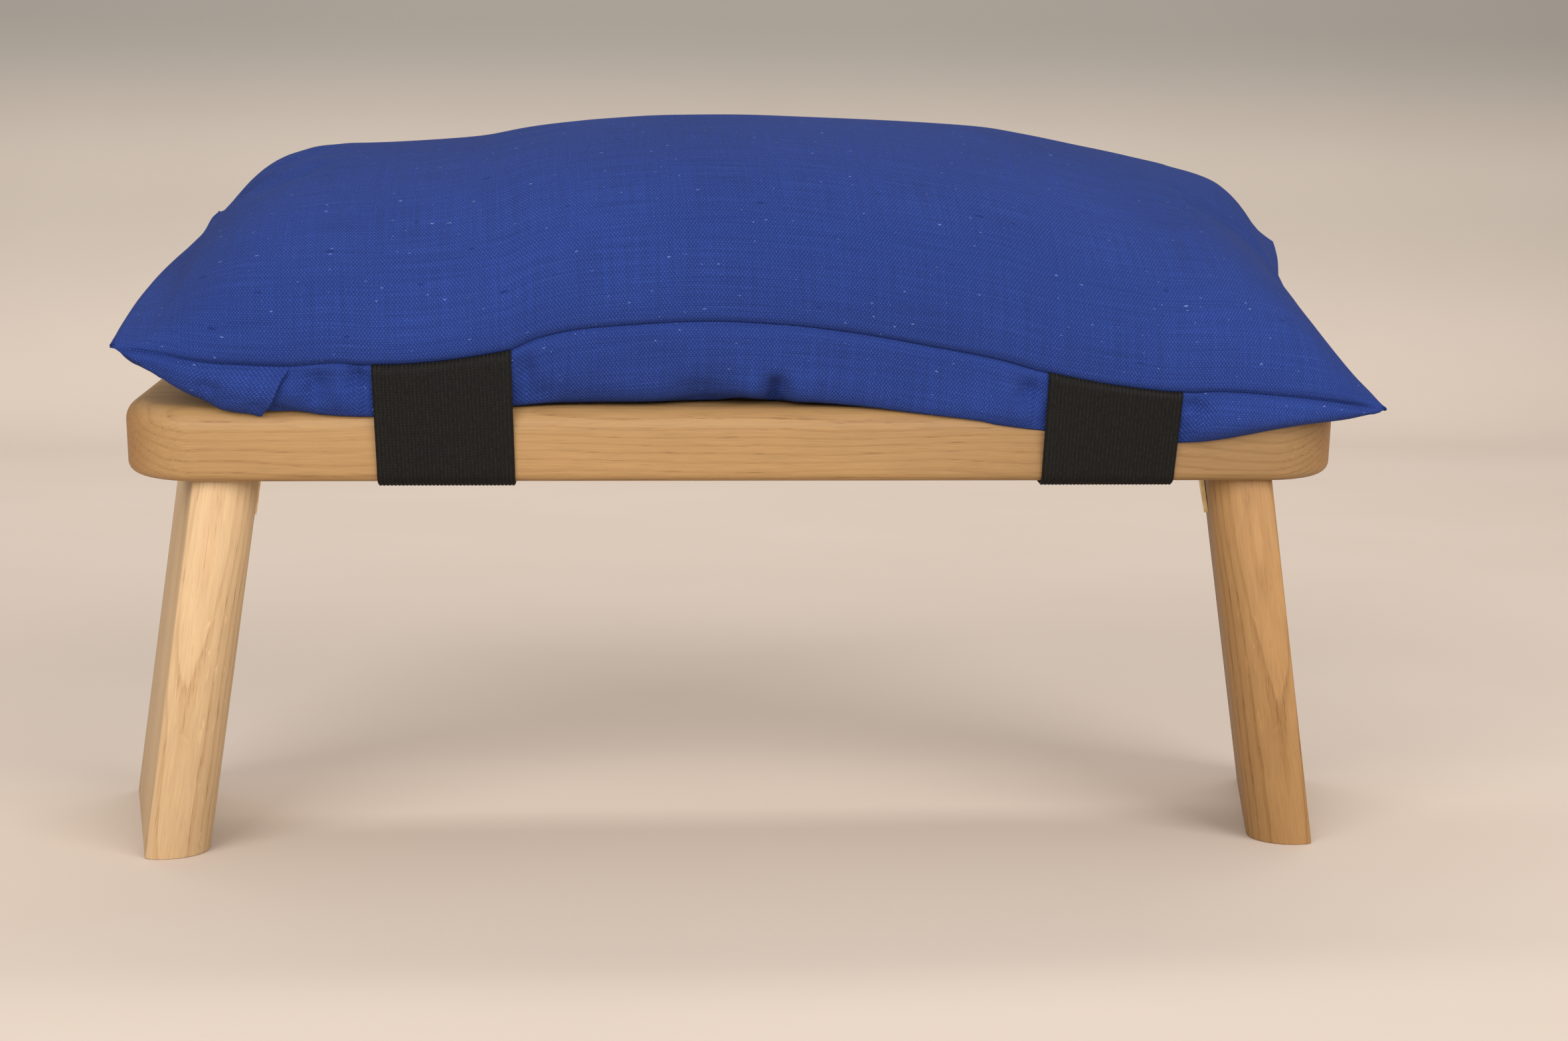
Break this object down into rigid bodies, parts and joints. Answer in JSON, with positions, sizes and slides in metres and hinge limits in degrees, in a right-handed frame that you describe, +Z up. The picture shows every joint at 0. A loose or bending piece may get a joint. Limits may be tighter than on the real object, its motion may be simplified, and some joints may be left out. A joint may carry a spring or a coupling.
{
  "type": "folding kneeling bench",
  "caption": "Low kneeling bench: a sloping oak seat on splayed legs that fold flat under it on brass hinges, with a canvas cushion held on by elastic straps.",
  "frame": {"origin": "on the floor, under the middle of the bench's plan", "axes": "+X along the bench, +Y from the low front edge of the seat to its high back edge, +Z up"},
  "size_m": [0.5026, 0.1844, 0.2878],
  "materials": {
    "oak_seat": "light oak, planed and sanded, thin satin oil, open grain",
    "oak_leg": "light oak, planed and sanded, thin satin oil, open grain",
    "brass": "plain pressed brass, lightly brushed",
    "black_elastic": "black ribbed woven elastic, matt",
    "blue_canvas": "royal blue cotton canvas, coarse plain weave with slubs",
    "filling": "soft undyed fibre filling"
  },
  "bodies": {
    "root": {"seat_board": "oak_seat", "left_hinge_seat_leaf": "brass", "left_hinge_pin": "brass", "left_seat_screw_front": "brass", "left_seat_screw_middle": "brass", "left_seat_screw_rear": "brass", "right_hinge_seat_leaf": "brass", "right_hinge_pin": "brass", "right_seat_screw_front": "brass", "right_seat_screw_middle": "brass", "right_seat_screw_rear": "brass", "left_strap": "black_elastic", "right_strap": "black_elastic", "cushion_top_panel": "blue_canvas", "cushion_base_panel": "blue_canvas", "cushion_end_flap": "blue_canvas", "cushion_filling": "filling"},
    "left_leg_assembly": {"left_leg": "oak_leg", "left_hinge_leg_leaf": "brass", "left_leg_screw_front": "brass", "left_leg_screw_middle": "brass", "left_leg_screw_rear": "brass"},
    "right_leg_assembly": {"right_leg": "oak_leg", "right_hinge_leg_leaf": "brass", "right_leg_screw_front": "brass", "right_leg_screw_middle": "brass", "right_leg_screw_rear": "brass"}
  },
  "joints": [
    {"name": "left_leg_fold", "type": "hinge", "parent": "root", "child": "left_leg_assembly", "pos_m": [-0.17527, -0.06337, 0.14394], "axis": [0.2164, -0.97, -0.1105], "range_deg": [0, 99.5]},
    {"name": "right_leg_fold", "type": "hinge", "parent": "root", "child": "right_leg_assembly", "pos_m": [0.17527, -0.06337, 0.14394], "axis": [0.2164, 0.97, 0.1105], "range_deg": [0, 99.5]}
  ]
}
